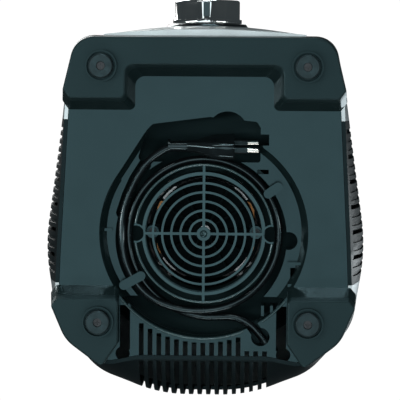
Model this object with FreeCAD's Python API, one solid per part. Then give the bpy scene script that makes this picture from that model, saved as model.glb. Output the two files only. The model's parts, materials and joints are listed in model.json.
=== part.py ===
import FreeCAD, Part
import math
import os

# Motor base of a countertop kitchen machine: a moulded bottom with feet and a cord pocket, a flared
# housing with side and rear air vents, a front speed knob and a motor that drives a coupling in the
# top deck. Millimetres, +Z up, front towards -Y, origin on the surface below the middle of the machine.

V = FreeCAD.Vector
UP = V(0, 0, 1)
BACK = V(0, 1, 0)
RIGHT = V(1, 0, 0)

# ---------------------------------------------------------------- driving dimensions
CLEARANCE = 0.3            # between pieces that are mounted beside each other
WALL = 2.8                 # moulded wall of the housing
FLOOR_WALL = 3.0           # moulded wall of the bottom

# body, from the surface up
PAD_Z = 7.0                # underside of the front bar and of the rear pads
PLATE_Z = 20.0             # underside of the recessed middle plate
WIDE_Z = 62.0              # level where the body is widest
SHOULDER_Z = 118.0         # where the sides start to lean in
BROW_Z = 154.0
DECK_Z = 176.0             # top edge of the housing
BODY_HALF = 126.5          # half of the greatest width
BODY_REAR = 156.8          # rearmost point
BODY_FRONT = 126.0         # flat front of the housing, behind the front panel
BASE_HALF = 113.0          # half width of the housing's lower edge
BASE_REAR = 122.0
DECK_HALF = 104.0
DECK_REAR = 136.0
DECK_FRONT = 112.0

# front bar and rear pads, the two lowest levels of the bottom
BAR_HALF = 108.5
BAR_FRONT = 127.5
BAR_REAR = 81.0
NOTCH_HALF = 61.0          # bay in the rear edge of the front bar
NOTCH_FRONT = 107.0
STEP_RUN = 9.5             # how far a sloped step reaches over the middle plate
EDGE_RUN = 1.4             # draft of the outer walls
PAD_FRONT = 74.3
PAD_INNER = 65.0
PAD_OUTER = 117.5
PAD_REAR = 127.0
EDGE_ROUND = 1.6           # rounding along the lowest edges

# feet
FRONT_FOOT = (78.8, -105.2)
REAR_FOOT = (80.7, 91.5)
FOOT_R = 9.2
FOOT_RING_R = 12.2
FOOT_RING_WALL = 1.3
FOOT_RING_DROP = 4.0       # how far the ring stands below the pad
FOOT_HOLE_R = 3.4
FOOT_SCREW_R = 1.6

# cord pocket and the drum that the cord is wound on
MOTOR_Y = 24.0             # the motor's axis, measured from the middle of the machine
POCKET_R = 81.0
POCKET_DEPTH = 26.0        # of the trench that holds the cord and of the plug's bay
LEDGE_DEPTH = 12.0         # of the shallow ledge round the trench
LEDGE_SLOPE = 5.0          # how far the pocket's sloped wall reaches inwards
TRENCH_REAR = 74.0         # the whole pocket is deep behind this
BAY_REAR = -31.0           # rear side of the plug's bay
TRENCH_GAP = 2.0           # between the wound cord and the trench's wall
DRUM_RIM_R = 54.4
DRUM_NECK_R = 47.5
DRUM_WALL = 2.4
DRUM_SCREW_AT = 40.5
GRILLE_T = 2.6
GRILLE_BAR = 1.7
GRILLE_RINGS = 6
GRILLE_HUB_R = 5.4
GRILLE_FIRST_R = 10.9
GRILLE_PITCH = 7.1
RIM_BAR = 1.8               # ring along the drum's rim, outside the last slot
SPOKE_W = 2.0
WELL_R = 6.1               # screw wells at both sides of the drum
WELL_AT = 52.5
WELL_WALL = 1.2
PLUG_RECESS_RIGHT = 43.5
PLUG_RECESS_FRONT = 66.5
PIN_NOTCH_Y = -49.0
PIN_NOTCH_W = 8.6
PIN_NOTCH_REACH = 6.5
BITE_AT = (66.0, 30.0)     # round bite in the ledge beside the drum
BITE_R = 7.0
HOOK_W = 7.2               # hooks that hold the cord in its trench
HOOK_T = 2.6
HOOK_POST_R = 2.4
LEFT_HOOK = ((-61.8, 64.8), (-48.6, 57.4))
RIGHT_HOOK = ((57.2, -12.6), (49.8, -7.4))
FINGER_R = 15.4
FINGER_AT = (18.0, -55.5)

# supply cord and its plug
CORD_D = 6.0
COIL_CENTRE = (-2.3, 28.5)
COIL_R = 65.0
COIL_LOW = 25.0
COIL_TOP = 39.0
CORD_EXIT = (47.0, 107.2, 29.0)
EXIT_ROUTE = [CORD_EXIT, (40.7, 98.8, 28.6), (32.3, 92.6, 28.8), (22.4, 89.4, 30.2), (11.9, 90.0, 32.0)]
PLUG_ROUTE = [(-63.8, 9.0, 31.0), (-59.5, -4.3, 31.0), (-53.8, -17.1, 30.8), (-46.6, -28.5, 30.2),
              (-38.0, -36.9, 29.0), (-27.9, -42.3, 27.4)]
EXIT_WELL = (44.6, 104.0)
EXIT_WELL_R = 7.2
PLUG_Y = -43.5
PLUG_Z = 26.5
PLUG_FACE_X = 23.5
PLUG_LENGTH = 17.0
PLUG_NECK = 20.0
PLUG_HEIGHT = 31.0
PLUG_THICK = 13.7
PLUG_LEAN = 16.0           # degrees that the plug leans in its recess
BOOT_LENGTH = 13.0
PIN_LENGTH = 19.0
PIN_R = 2.0
SLEEVE_R = 2.4
SLEEVE_LENGTH = 10.0
PIN_SPACING = 19.0

# vents
SIDE_VENT_FRONT = -64.0
SIDE_VENT_REAR = 63.0
SIDE_VENT_TOP = 92.0
SIDE_RIB_PITCH = 6.5
SIDE_RIB_GAP = 3.4
REAR_SLOTS = 15
REAR_PITCH = 6.85
REAR_SLOT_W = 3.7
REAR_VENT_FRONT = 79.0     # the rear vent wraps round the rear corners from here
SEAM_STRIP = 0.9           # strip of the rear vent below its slots
REAR_VENT_TOP = 96.0

# front panel and knob
PANEL_HALF = 78.0
PANEL_LOW = 22.0
PANEL_TOP = 152.0
PANEL_T = 3.0
PANEL_BOW = 8.0
PANEL_GAP = 0.9            # between the housing's front and the panel
KNOB_Z = 90.0
KNOB_R = 26.0
KNOB_FRONT = -158.1
KNOB_LENGTH = 15.5
KNOB_FLANGE_R = 27.6
KNOB_FLANGE_T = 3.0
COLLAR_R = 35.5
COLLAR_TIP_R = 31.0
SPINDLE_R = 3.0

# motor
SHAFT_R = 4.0
SHAFT_LOW = 52.0
SHAFT_TOP = DECK_Z + 5.0    # ends inside the coupling
STACK_R = 44.0
STACK_BORE_R = 26.0
AIR_GAP = 0.5
STACK_LOW = 84.0
STACK_H = 42.0
BEARING_R = 11.0
BEARING_W = 7.0
LOWER_BRACKET_Z = 70.0
UPPER_BRACKET_Z = 150.0
BRACKET_T = 4.0
FAN_R = 40.0
FAN_LOW = 55.0
FAN_H = 10.0
FAN_BLADES = 12
COMMUTATOR_R = 13.0
COMMUTATOR_LOW = 129.0
COMMUTATOR_H = 16.0
RUNNING_GAP = 0.05         # radial gap of a shaft in its bearing

# top deck
DECK_T = 3.0
SEAT_R = 78.0              # seat of the bowl
SEAT_DEPTH = 9.0
DECK_RISE = 6.0
COUPLING_R = 15.0
COUPLING_H = 15.0
COUPLING_TEETH = 5
SEAL_SECTION = 2.4

# safety interlock pin
INTERLOCK_AT = (62.0, -30.0)
INTERLOCK_R = 3.0
INTERLOCK_TRAVEL = 4.0

parts = {}


# ---------------------------------------------------------------- shape helpers
def mirrored(half):
    """A closed outline from its +X half, listed from front to rear."""
    return half + [(-x, y, radius) for x, y, radius in reversed(half)]


def edge_normal(a, b):
    length = math.hypot(b[0] - a[0], b[1] - a[1])
    return (b[1] - a[1]) / length, (a[0] - b[0]) / length


def inset(corners, distance):
    """The outline moved inwards by a distance, with as many corners. Outlines run counter-clockwise."""
    moved = []
    for i, corner in enumerate(corners):
        before, after = corners[i - 1], corners[(i + 1) % len(corners)]
        n1, n2 = edge_normal(before, corner), edge_normal(corner, after)
        share = distance / (1 + n1[0] * n2[0] + n1[1] * n2[1])
        turn = n1[0] * n2[1] - n1[1] * n2[0]
        radius = corner[2] - math.copysign(distance, turn)
        shift_x, shift_y = (n1[0] + n2[0]) * share, (n1[1] + n2[1]) * share
        moved.append((corner[0] - shift_x, corner[1] - shift_y, max(radius, 0.6)))
    return moved


def outline(corners, z):
    """A closed wire of straight edges joined by a tangent arc at each corner (x, y, radius)."""
    arcs = []
    for i, (x, y, radius) in enumerate(corners):
        here = V(x, y, z)
        before, after = corners[i - 1], corners[(i + 1) % len(corners)]
        back = (V(before[0], before[1], z) - here).normalize()
        ahead = (V(after[0], after[1], z) - here).normalize()
        half = back.getAngle(ahead) / 2
        cut = radius / math.tan(half)
        towards = (back + ahead).normalize()
        middle = here + towards * (radius / math.sin(half) - radius)
        arcs.append((here + back * cut, middle, here + ahead * cut))
    edges = []
    for i, (start, middle, end) in enumerate(arcs):
        edges.append(Part.LineSegment(arcs[i - 1][2], start).toShape())
        edges.append(Part.Arc(start, middle, end).toShape())
    return Part.Wire(edges)


def prism(corners, low, high):
    return Part.Face(outline(corners, low)).extrude(V(0, 0, high - low))


def tapered(low_corners, low, high_corners, high):
    return Part.makeLoft([outline(low_corners, low), outline(high_corners, high)], True, True)


def box(x0, x1, y0, y1, z0, z1):
    return Part.makeBox(x1 - x0, y1 - y0, z1 - z0, V(x0, y0, z0))


def cylinder(radius, x, y, low, high):
    return Part.makeCylinder(radius, high - low, V(x, y, low))


def ring(outer, inner, x, y, low, high):
    return cylinder(outer, x, y, low, high).cut(cylinder(inner, x, y, low - 1, high + 1))


def on_axis(radius, low, high):
    return cylinder(radius, 0, MOTOR_Y, low, high)


def fused(shapes):
    first, *others = shapes
    return first.multiFuse(others).removeSplitter() if others else first


def both_sides(shape):
    """The shape and its mirror image in the X = 0 plane."""
    return [shape, shape.mirror(V(0, 0, 0), RIGHT)]


def screw(x, y, low, length, shank, head, head_height):
    """A pan-head screw that points up, with a cross recess in its head."""
    body = cylinder(shank, x, y, low + head_height, low + length)
    cap = cylinder(head, x, y, low, low + head_height)
    depth = head_height * 0.5
    slot = head * 0.6
    width = head * 0.12
    cross = box(x - slot, x + slot, y - width, y + width, low - 1, low + depth)
    cross = cross.fuse(box(x - width, x + width, y - slot, y + slot, low - 1, low + depth))
    return fused([body, cap]).cut(cross)


# ---------------------------------------------------------------- housing
def body_corners(half, front, rear, front_half):
    """Outline of the body at one level; the widest point lies behind the middle."""
    return mirrored([
        (front_half, -front, 20),
        (half * 0.2 + front_half * 0.8 + 6.5, -front * 0.6, 60),
        (half + 1.0, 38, 150),
        (half * 0.93, rear * 0.635, 44),
        (half * 0.655, rear * 0.876, 52),
        (half * 0.28, rear, 110),
    ])


# The housing's lower edge runs round the outside of the front bar and of the rear pads.
BASE_CORNERS = mirrored([
    (BAR_HALF - 9.5, -BODY_FRONT + 1, 20),
    (BAR_HALF - 1, -BAR_REAR, 60),
    (BASE_HALF + 1.0, 38, 150),
    (PAD_OUTER - 1.5, PAD_FRONT + 14, 24),
    (PAD_INNER + 14, PAD_REAR + 1, 18),
    (PAD_INNER - 16, BASE_REAR, 26),
])

LEVELS = [
    (PLATE_Z, BASE_CORNERS),
    (WIDE_Z, body_corners(BODY_HALF, BODY_FRONT, BODY_REAR, 100.0)),
    (SHOULDER_Z, body_corners(BODY_HALF - 1, BODY_FRONT, BODY_REAR - 2, 99.5)),
    (BROW_Z, body_corners(BODY_HALF - 9, BODY_FRONT - 5, BODY_REAR - 9, 94.0)),
    (DECK_Z, body_corners(DECK_HALF, DECK_FRONT, DECK_REAR, 84.0)),
]


def body_solid(depth):
    """The body's outer form, moved inwards by a depth."""
    return Part.makeLoft([outline(inset(corners, depth), z) for z, corners in LEVELS], True, False)


OUTER_FORM = body_solid(0)
INNER_FORM = body_solid(WALL)
SHELL = OUTER_FORM.cut(INNER_FORM)


def side_window(sign, gap):
    """The space of one side vent in the housing, made smaller by a gap."""
    x0, x1 = sorted((sign * (BASE_HALF * 0.6), sign * (BODY_HALF + 20)))
    low = PLATE_Z - 1 if gap == 0 else PLATE_Z
    return box(x0, x1, SIDE_VENT_FRONT + gap, SIDE_VENT_REAR - gap, low, SIDE_VENT_TOP - gap)


def rear_window(gap):
    """The space of the rear vent in the housing, made smaller by a gap."""
    low = PLATE_Z - 1 if gap == 0 else PLATE_Z
    reach = BODY_HALF * 2
    return box(-reach, reach, REAR_VENT_FRONT + gap, BODY_REAR * 2, low, REAR_VENT_TOP - gap)


def make_housing():
    shell = SHELL.cut(rear_window(0))
    for sign in (-1, 1):
        shell = shell.cut(side_window(sign, 0))
    spindle_hole = Part.makeCylinder(SPINDLE_R + 5, 60, V(0, -BODY_FRONT - 30, KNOB_Z), BACK)
    parts["outer_housing"] = shell.cut(spindle_hole)


def make_side_vents():
    """Ribbed panels: upright slots in a panel that continues the housing's wall."""
    count = int((SIDE_VENT_REAR - SIDE_VENT_FRONT - 4) / SIDE_RIB_PITCH)
    first = (SIDE_VENT_FRONT + SIDE_VENT_REAR - (count - 1) * SIDE_RIB_PITCH) / 2
    slots = []
    for i in range(count):
        y = first + i * SIDE_RIB_PITCH
        slots.append(box(-BODY_HALF * 2, BODY_HALF * 2, y - SIDE_RIB_GAP / 2, y + SIDE_RIB_GAP / 2,
                         PLATE_Z + 4, SIDE_VENT_TOP - 4))
    skin = OUTER_FORM.cut(body_solid(WALL * 0.5))
    for name, sign in (("side_vent_left", -1), ("side_vent_right", 1)):
        window = side_window(sign, CLEARANCE)
        ribs = skin.common(window).cut(Part.makeCompound(slots))
        backing = body_solid(WALL * 0.5).cut(INNER_FORM).common(window)
        inner_slots = []
        for i in range(0, count, 3):
            y = first + i * SIDE_RIB_PITCH
            inner_slots.append(box(-BODY_HALF * 2, BODY_HALF * 2, y - SIDE_RIB_GAP / 2,
                                   y + SIDE_RIB_GAP / 2, PLATE_Z + 8, SIDE_VENT_TOP - 8))
        parts[name] = fused([ribs, backing.cut(Part.makeCompound(inner_slots))])


def rear_slot_positions():
    return [(i - (REAR_SLOTS - 1) / 2) * REAR_PITCH for i in range(REAR_SLOTS)]


def make_rear_vent():
    """The sloping tail of the body with slots that run on from the bottom."""
    panel = SHELL.common(rear_window(CLEARANCE))
    slots = [box(x - REAR_SLOT_W / 2, x + REAR_SLOT_W / 2, REAR_VENT_FRONT, BODY_REAR * 2,
                 PLATE_Z + SEAM_STRIP, REAR_VENT_TOP - 6) for x in rear_slot_positions()]
    parts["rear_vent_grille"] = panel.cut(Part.makeCompound(slots))


# ---------------------------------------------------------------- bottom
def bar_corners(rise):
    """Front bar at a height above its underside: outer walls with draft, sloped steps to the rear."""
    share = rise / (PLATE_Z - PAD_Z)
    step = STEP_RUN * share
    out = EDGE_RUN * share
    return mirrored([
        (BAR_HALF - 10 + out, -BAR_FRONT - out, 18),
        (BAR_HALF + out, -BAR_REAR - 7 + step, 2.5),
        (BAR_HALF - 5 + out, -BAR_REAR + step, 3.0),
        (NOTCH_HALF - step * 0.8, -BAR_REAR + step, 4.5),
        (NOTCH_HALF - step * 0.8, -NOTCH_FRONT + step, 7.5),
    ])


def pad_corners(rise):
    """Right rear pad at a height above its underside; its inner wall is upright."""
    share = rise / (PLATE_Z - PAD_Z)
    step = STEP_RUN * share
    out = EDGE_RUN * share
    return [
        (PAD_INNER, PAD_FRONT - step, 4.0),
        (PAD_OUTER - 5 + out, PAD_FRONT - step, 2.5),
        (PAD_OUTER + out, PAD_FRONT + 6 - step, 4.0),
        (PAD_OUTER - 11.5 + out, PAD_REAR - 21 + out, 30.0),
        (PAD_INNER + 13, PAD_REAR + out, 4.0),
        (PAD_INNER, PAD_REAR - 19, 3.0),
    ]


def rounded_low_edges(solid, low):
    """The solid with its edges at the lowest level rounded."""
    edges = [e for e in solid.Edges if abs(e.BoundBox.ZMax - low) < 0.01]
    return solid.makeFillet(EDGE_ROUND, edges)


def raised_block(corners_at):
    """A hollow block that stands below the middle plate, open towards the inside of the machine."""
    height = PLATE_Z - PAD_Z
    outer = rounded_low_edges(tapered(corners_at(0), PAD_Z, corners_at(height), PLATE_Z), PAD_Z)
    hollow = tapered(inset(corners_at(0), FLOOR_WALL), PAD_Z + FLOOR_WALL,
                     inset(corners_at(height), FLOOR_WALL), PLATE_Z + FLOOR_WALL + 0.01)
    return outer, hollow


def plate_corners():
    """Outline of the middle plate, inside the housing's lower edge."""
    return inset(LEVELS[0][1], WALL + CLEARANCE)


# Front and left side of the pocket, where it opens towards the plug's bay.
BAY_LEFT = (-45.0, -55.5)
POCKET_TOUCH = (-69.5, -17.3)
MOUTH_HALF = 50.0


def mouth_corners():
    """Outline that joins the round pocket to the plug's bay."""
    return [
        (BAY_LEFT[0], BAY_LEFT[1], 4.0),
        (PLUG_RECESS_RIGHT - 3.5, BAY_LEFT[1], 4.0),
        (MOUTH_HALF, -34.0, 3.0),
        (MOUTH_HALF, MOTOR_Y, 3.0),
        (-MOUTH_HALF, MOTOR_Y, 3.0),
        (POCKET_TOUCH[0], POCKET_TOUCH[1], 3.0),
    ]


def bay_corners():
    """Outline of the plug's bay and of the way that the cord takes into it."""
    return [
        (BAY_LEFT[0], BAY_LEFT[1], 4.0),
        (BAY_LEFT[0] + 5.0, BAY_LEFT[1] - 5.3, 4.0),
        (4.0, -PLUG_RECESS_FRONT, 3.0),
        (PLUG_RECESS_RIGHT - 3, -PLUG_RECESS_FRONT + 3.5, 3.0),
        (PLUG_RECESS_RIGHT, -PLUG_RECESS_FRONT + 8, 2.0),
        (PLUG_RECESS_RIGHT, BAY_REAR, 2.0),
        (BAY_LEFT[0] - 8.0, BAY_REAR, 4.0),
    ]


def ledge_space():
    """The shallow part of the cord pocket; its wall slopes inwards."""
    floor = PLATE_Z + LEDGE_DEPTH
    slope = Part.makeCone(POCKET_R, POCKET_R - LEDGE_SLOPE, LEDGE_DEPTH, V(0, MOTOR_Y, PLATE_Z))
    mouth = mouth_corners()
    return fused([
        on_axis(POCKET_R, PLATE_Z - 1, PLATE_Z),
        slope,
        prism(mouth, PLATE_Z - 1, PLATE_Z),
        tapered(mouth, PLATE_Z, inset(mouth, LEDGE_SLOPE * 0.8), floor),
    ])


def ledge_block(low, high):
    """Walls and floor of the shallow part of the pocket, before it is hollowed."""
    return on_axis(POCKET_R + FLOOR_WALL, low, high).fuse(prism(inset(mouth_corners(), -FLOOR_WALL), low, high))


def cord_run(points, half_width, low, high):
    """An upright-walled channel along the points of a cord's route."""
    pieces = [cylinder(half_width, x, y, low, high) for x, y, _ in points]
    for start, end in zip(points, points[1:]):
        along = V(end[0] - start[0], end[1] - start[1], 0)
        run = box(0, along.Length, -half_width, half_width, low, high)
        run.rotate(V(0, 0, 0), UP, math.degrees(math.atan2(along.y, along.x)))
        run.translate(V(start[0], start[1], 0))
        pieces.append(run)
    return pieces


def trench_space(grow, low, high):
    """The deep part of the pocket: cord trench, plug's bay, finger notch and pin notch."""
    behind = box(-BODY_HALF, BODY_HALF, TRENCH_REAR - grow, BODY_REAR, low, high)
    notch_half = PIN_NOTCH_W / 2 + grow
    return fused([
        cylinder(COIL_R + TRENCH_GAP + grow, COIL_CENTRE[0], COIL_CENTRE[1], low, high),
        on_axis(POCKET_R + grow, low, high).common(behind),
        cylinder(BITE_R + grow, BITE_AT[0], BITE_AT[1], low, high),
        prism(inset(bay_corners(), -grow), low, high),
        cylinder(FINGER_R + grow, FINGER_AT[0], FINGER_AT[1], low, high),
        box(PLUG_RECESS_RIGHT - 4, PLUG_RECESS_RIGHT + PIN_NOTCH_REACH + grow, PIN_NOTCH_Y - notch_half,
            PIN_NOTCH_Y + notch_half, low, high),
    ] + cord_run(PLUG_ROUTE[:4], CORD_D / 2 + TRENCH_GAP + grow, low, high))


def exit_channel(grow, low, high):
    """The round well at the cord's exit and the channel from it into the pocket."""
    well_x, well_y = EXIT_WELL
    well = cylinder(EXIT_WELL_R + grow, well_x, well_y, low, high)
    angle = math.degrees(math.atan2(-0.80, -0.60))
    channel = box(0, 24, -4.6 - grow, 4.6 + grow, low, high)
    channel.rotate(V(0, 0, 0), UP, angle)
    channel.translate(V(well_x, well_y, 0))
    return well.fuse(channel)


def foot_places():
    names = ("front_left", "front_right", "rear_left", "rear_right")
    spots = [(-FRONT_FOOT[0], FRONT_FOOT[1]), FRONT_FOOT, (-REAR_FOOT[0], REAR_FOOT[1]), REAR_FOOT]
    return list(zip(names, spots))


def cord_hook(ends):
    """A flat arm with round ends over the wound cord, on a post that stands on the ledge."""
    low = PLATE_Z + 1.2
    (post_x, post_y), _ = ends
    arm = cord_run([(x, y, low) for x, y in ends], HOOK_W / 2, low, low + HOOK_T)
    post = cylinder(HOOK_POST_R, post_x, post_y, low, PLATE_Z + LEDGE_DEPTH + 1)
    return fused(arm + [post])


def pocket_details():
    """Moulded cord hooks, ribs and fork on the pocket's floors."""
    ledge = PLATE_Z + LEDGE_DEPTH + 0.5
    floor = PLATE_Z + POCKET_DEPTH + 0.5
    rib = 2.2
    details = [cord_hook(LEFT_HOOK), cord_hook(RIGHT_HOOK)]
    for x in (45.0, 52.0):
        details.append(box(x, x + rib, 80.0, 88.0, PLATE_Z + 4, floor))
    for y in (46.0, 63.0):
        details.append(box(65.5, 77.0, y, y + rib, PLATE_Z + 5, ledge))
    details.append(box(-77.5, -71.5, 21.0, 21.0 + rib, PLATE_Z + 8, ledge))
    return details


def ledge_windows():
    """Openings that a mould leaves in the ledge beside the hooks and ribs."""
    low, high = PLATE_Z + LEDGE_DEPTH - 1, PLATE_Z + LEDGE_DEPTH + FLOOR_WALL + 1
    return [
        box(41.0, 50.0, -25.5, -22.0, low, high),
        box(67.5, 74.0, 51.0, 60.5, low, high),
    ]


def make_base_plate():
    depth = PLATE_Z + POCKET_DEPTH
    bar, bar_hollow = raised_block(bar_corners)
    pad, pad_hollow = raised_block(pad_corners)
    plate = prism(plate_corners(), PLATE_Z, PLATE_Z + FLOOR_WALL)
    ledge = ledge_block(PLATE_Z, PLATE_Z + LEDGE_DEPTH + FLOOR_WALL)
    tub = trench_space(FLOOR_WALL, PLATE_Z, depth + FLOOR_WALL)
    well = exit_channel(FLOOR_WALL, PLATE_Z, CORD_EXIT[2] + 10)
    solids = [plate, bar, ledge, tub, well] + both_sides(pad)
    for _, (x, y) in foot_places():
        solids.append(ring(FOOT_RING_R, FOOT_RING_R - FOOT_RING_WALL, x, y,
                           PAD_Z - FOOT_RING_DROP, PAD_Z + 1))
    bottom = fused(solids)
    bottom = bottom.cut(bar_hollow)
    for hollow in both_sides(pad_hollow):
        bottom = bottom.cut(hollow)
    bottom = bottom.cut(ledge_space())
    bottom = bottom.cut(trench_space(0, PLATE_Z - 1, depth))
    bottom = bottom.cut(exit_channel(0, PLATE_Z - 1, CORD_EXIT[2] + 7))
    bottom = bottom.cut(cylinder(DRUM_NECK_R + CLEARANCE, 0, MOTOR_Y, depth - 1, depth + 9))
    lug = box(DRUM_SCREW_AT - 5, DRUM_NECK_R + 6, MOTOR_Y - 5, MOTOR_Y + 5, depth + FLOOR_WALL,
              depth + FLOOR_WALL + 3)
    lug = lug.cut(cylinder(1.7, DRUM_SCREW_AT, MOTOR_Y, depth, depth + 9))
    bottom = fused([bottom] + pocket_details() + both_sides(lug))
    cuts = ledge_windows()
    for x in rear_slot_positions():
        start = MOTOR_Y + math.sqrt((POCKET_R + FLOOR_WALL + 1) ** 2 - x ** 2)
        if math.hypot(x - EXIT_WELL[0], start - EXIT_WELL[1]) < EXIT_WELL_R + FLOOR_WALL + 3:
            start = EXIT_WELL[1] + EXIT_WELL_R + FLOOR_WALL + 1
        cuts.append(box(x - REAR_SLOT_W / 2, x + REAR_SLOT_W / 2, start, BASE_REAR + 3,
                        PLATE_Z - 1, PLATE_Z + FLOOR_WALL + 1))
    gap = box(PAD_INNER - 8.3, PAD_INNER - 0.3, 80.0, PAD_REAR - 12, PLATE_Z - 1, PLATE_Z + 12)
    cuts += both_sides(gap)
    cuts += both_sides(cylinder(5.6, PAD_INNER - 2.6, PAD_REAR - 9, PLATE_Z - 1, PLATE_Z + 12))
    for _, (x, y) in foot_places():
        cuts.append(cylinder(FOOT_SCREW_R + 0.2, x, y, PAD_Z - 1, PAD_Z + FLOOR_WALL + 1))
    parts["base_plate"] = bottom.cut(Part.makeCompound(cuts))


def make_feet():
    screws = []
    for name, (x, y) in foot_places():
        tread = cylinder(FOOT_R, x, y, 0, PAD_Z)
        tread = tread.makeChamfer(0.8, [e for e in tread.Edges if e.BoundBox.ZMax < 0.1])
        recess = cylinder(FOOT_HOLE_R, x, y, -1, PAD_Z - 3)
        bore = cylinder(FOOT_SCREW_R + 0.2, x, y, -1, PAD_Z + 1)
        parts["foot_" + name] = tread.cut(recess).cut(bore)
        screws.append(screw(x, y, PAD_Z - 5, 14, FOOT_SCREW_R, FOOT_HOLE_R - 0.3, 1.9))
    parts["foot_screws"] = Part.makeCompound(screws)


def make_motor_grille():
    """The drum that the cord is wound on; its end face is a grille of rings and four spokes."""
    low = PLATE_Z + 0.6
    top = PLATE_Z + POCKET_DEPTH + FLOOR_WALL
    rim = cylinder(DRUM_RIM_R, 0, MOTOR_Y, low, low + GRILLE_T)
    rim = rim.makeFillet(1.1, [e for e in rim.Edges if len(e.Vertexes) == 1])
    neck = cylinder(DRUM_NECK_R, 0, MOTOR_Y, low + 1, top)
    drum = fused([rim, neck])
    drum = drum.cut(cylinder(DRUM_NECK_R - DRUM_WALL, 0, MOTOR_Y, low + GRILLE_T, top + 1))
    slots = []
    radii = [GRILLE_FIRST_R + i * GRILLE_PITCH for i in range(GRILLE_RINGS)]
    inner_edges = [GRILLE_HUB_R] + [r + GRILLE_BAR / 2 for r in radii[:-1]]
    outer_edges = [r - GRILLE_BAR / 2 for r in radii]
    inner_edges.append(DRUM_NECK_R + 0.4)
    outer_edges.append(DRUM_RIM_R - RIM_BAR)
    for inner, outer in zip(inner_edges, outer_edges):
        slots.append(ring(outer, inner, 0, MOTOR_Y, low - 1, low + GRILLE_T + 1))
    spokes = []
    for angle in (0, 90):
        bar = box(-DRUM_RIM_R, DRUM_RIM_R, -SPOKE_W / 2, SPOKE_W / 2, low - 1, low + GRILLE_T + 1)
        bar.rotate(V(0, 0, 0), UP, angle)
        bar.translate(V(0, MOTOR_Y, 0))
        spokes.append(bar)
    open_part = Part.makeCompound(slots).cut(fused(spokes))
    drum = drum.cut(open_part)
    hub = cylinder(GRILLE_HUB_R, 0, MOTOR_Y, low - 0.8, low + GRILLE_T)
    dimple = Part.makeSphere(3.4, V(0, MOTOR_Y, low - 2.4))
    drum = fused([drum, hub]).cut(dimple)
    for sign in (-1, 1):
        wall = cylinder(WELL_R + WELL_WALL, sign * WELL_AT, MOTOR_Y, low, low + GRILLE_T)
        drum = drum.fuse(wall.common(on_axis(DRUM_RIM_R, low, low + GRILLE_T)))
        drum = drum.cut(cylinder(WELL_R, sign * WELL_AT, MOTOR_Y, low - 1, low + GRILLE_T + 10))
        seat = cylinder(5.0, sign * DRUM_SCREW_AT, MOTOR_Y, top - 13, top)
        drum = drum.fuse(seat.cut(cylinder(1.7, sign * DRUM_SCREW_AT, MOTOR_Y, low, top + 1)))
    parts["motor_grille"] = drum.removeSplitter()
    grille_screws = []
    for sign in (-1, 1):
        grille_screws.append(screw(sign * DRUM_SCREW_AT, MOTOR_Y, top - 15, 18, 1.5, 3.0, 2.0))
    parts["grille_screws"] = Part.makeCompound(grille_screws)


# ---------------------------------------------------------------- front panel and knob
PANEL_BACK = -BODY_FRONT - PANEL_GAP


def panel_section(z, bulge):
    """A bowed strip in front of the housing's flat front at one level."""
    back = PANEL_BACK
    half = PANEL_HALF + bulge * 0.2
    end = back - PANEL_T
    crown = end - PANEL_BOW * 0.5 - bulge
    edges = [
        Part.LineSegment(V(half, back, z), V(-half, back, z)).toShape(),
        Part.LineSegment(V(-half, back, z), V(-half, end, z)).toShape(),
        Part.Arc(V(-half, end, z), V(0, crown, z), V(half, end, z)).toShape(),
        Part.LineSegment(V(half, end, z), V(half, back, z)).toShape(),
    ]
    return Part.Wire(edges)


def along_front(radius, y0, y1, tip_radius=None):
    """A cylinder or cone on the knob's axis between two Y positions."""
    if tip_radius is None:
        return Part.makeCylinder(radius, y1 - y0, V(0, y0, KNOB_Z), BACK)
    return Part.makeCone(tip_radius, radius, y1 - y0, V(0, y0, KNOB_Z), BACK)


PANEL_CROWN = PANEL_BACK - PANEL_T - PANEL_BOW * 0.5
KNOB_REAR = KNOB_FRONT + KNOB_LENGTH
FLANGE_REAR = KNOB_REAR + KNOB_FLANGE_T
COLLAR_FRONT = FLANGE_REAR + CLEARANCE * 2
COLLAR_REAR = PANEL_CROWN + 1.5


def make_front_panel():
    """Bright panel, bowed outwards, with an opening that the knob's collar closes."""
    sections = [panel_section(PANEL_LOW, 0.0), panel_section(KNOB_Z, PANEL_BOW * 0.5),
                panel_section(PANEL_TOP, 0.0)]
    panel = Part.makeLoft(sections, True, False)
    relief = box(-PANEL_HALF + 6, PANEL_HALF - 6, PANEL_BACK - PANEL_T * 0.4,
                 -BODY_FRONT, PANEL_LOW + 6, PANEL_TOP - 6)
    panel = panel.cut(relief)
    parts["front_panel"] = panel.cut(along_front(COLLAR_R - 6, COLLAR_FRONT - 8, -BODY_FRONT + 5))


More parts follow.
